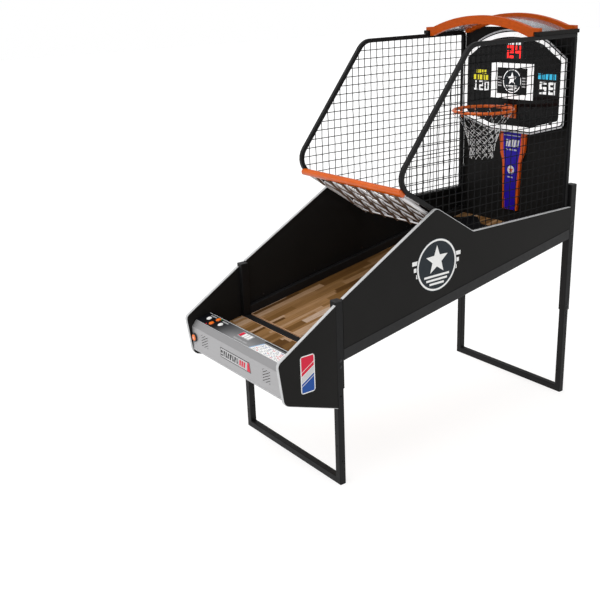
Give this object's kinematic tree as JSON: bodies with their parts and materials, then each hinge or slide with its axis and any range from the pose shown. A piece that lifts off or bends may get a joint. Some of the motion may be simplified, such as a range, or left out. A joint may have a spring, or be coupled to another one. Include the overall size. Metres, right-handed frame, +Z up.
{
  "type": "arcade basketball hoop machine",
  "caption": "Arcade basketball machine with a sloping ball-return deck, netted side cages, backboard, rim, console and telescoping leg frames.",
  "frame": {"origin": "middle of the footprint, at floor level", "axes": "+Z up; +Y from the player towards the backboard; +X to the player's right"},
  "size_m": [0.988, 2.3558, 2.498],
  "materials": {
    "frame_steel": "semi-gloss black powder coat",
    "rail_steel": "semi-gloss dark grey powder coat",
    "orange_steel": "gloss orange powder coat",
    "arch": "satin orange painted board",
    "black_board": "satin black laminated board",
    "edge_trim": "white moulded edge strip",
    "deck": "board printed with a mixed plank pattern, satin lacquer",
    "silver_face": "satin silver paint",
    "control_print": "satin printed overlay, black to grey",
    "white_button": "gloss white",
    "orange_button": "gloss orange",
    "black_plastic": "fine-textured black",
    "backboard": "gloss black with white printed bands",
    "white_print": "white",
    "display": "dark window with lit digits",
    "column_print": "violet-blue print with orange side bands",
    "canopy": "smoked clear acrylic sheet",
    "rope_net": "white twisted nylon rope",
    "cage_net": "black square-mesh netting",
    "circuit": "green circuit board",
    "tin": "folded tin case"
  },
  "bodies": {
    "frame": {"arch_front": "arch", "arch_rear": "arch", "back_wall": "black_board", "backboard": "backboard", "ball_sensor": "black_plastic", "cage_frame_left": "frame_steel", "cage_frame_right": "frame_steel", "cage_net_left": "cage_net", "cage_net_right": "cage_net", "canopy": "canopy", "column_cover": "column_print", "console_floor": "black_board", "console_front": "silver_face", "control_board": "circuit", "control_panel": "control_print", "front_bar": "orange_steel", "front_cross_rail": "rail_steel", "front_deck": "deck", "front_edge_trim_left": "edge_trim", "front_edge_trim_right": "edge_trim", "front_net": "rope_net", "front_post_cap_left": "black_plastic", "front_post_cap_right": "black_plastic", "front_post_left": "frame_steel", "front_post_right": "frame_steel", "front_side_panel_left": "black_board", "front_side_panel_right": "black_board", "high_score_display": "display", "hoop_net": "rope_net", "main_deck": "deck", "main_edge_trim_left": "edge_trim", "main_edge_trim_right": "edge_trim", "main_side_panel_left": "black_board", "main_side_panel_right": "black_board", "power_inlet": "black_plastic", "power_supply": "tin", "rear_cross_rail": "rail_steel", "rear_post_cap_left": "black_plastic", "rear_post_cap_right": "black_plastic", "rear_post_left": "frame_steel", "rear_post_right": "frame_steel", "rim": "orange_steel", "rim_bracket": "orange_steel", "roof_rail_left": "black_board", "roof_rail_right": "black_board", "score_display": "display", "side_rail_left": "rail_steel", "side_rail_right": "rail_steel", "speaker_left": "black_plastic", "speaker_right": "black_plastic", "start_button_bezel": "black_plastic", "target_frame": "white_print", "time_display": "display"},
    "front_legs": {"front_leg_frame": "frame_steel"},
    "rear_legs": {"rear_leg_frame": "frame_steel"},
    "start_plunger": {"start_button": "orange_button"},
    "control_plunger_1": {"control_button_1": "white_button"},
    "control_plunger_2": {"control_button_2": "orange_button"},
    "control_plunger_3": {"control_button_3": "orange_button"},
    "control_plunger_4": {"control_button_4": "white_button"}
  },
  "joints": [
    {"name": "front_leg_slide", "type": "slide", "parent": "frame", "child": "front_legs", "axis": [0, 0, 1], "range_m": [-0.1, 0.2]},
    {"name": "rear_leg_slide", "type": "slide", "parent": "frame", "child": "rear_legs", "axis": [0, 0, 1], "range_m": [-0.1, 0.2]},
    {"name": "start_button_press", "type": "slide", "parent": "frame", "child": "start_plunger", "axis": [0, 1, 0], "range_m": [0, 0.004], "stiffness_N_per_m": 600, "springref_m": -0.002},
    {"name": "control_button_1_press", "type": "slide", "parent": "frame", "child": "control_plunger_1", "axis": [0, 0.2083, -0.9781], "range_m": [0, 0.003], "stiffness_N_per_m": 500, "springref_m": -0.002},
    {"name": "control_button_2_press", "type": "slide", "parent": "frame", "child": "control_plunger_2", "axis": [0, 0.2083, -0.9781], "range_m": [0, 0.003], "stiffness_N_per_m": 500, "springref_m": -0.002},
    {"name": "control_button_3_press", "type": "slide", "parent": "frame", "child": "control_plunger_3", "axis": [0, 0.2083, -0.9781], "range_m": [0, 0.003], "stiffness_N_per_m": 500, "springref_m": -0.002},
    {"name": "control_button_4_press", "type": "slide", "parent": "frame", "child": "control_plunger_4", "axis": [0, 0.2083, -0.9781], "range_m": [0, 0.003], "stiffness_N_per_m": 500, "springref_m": -0.002}
  ]
}
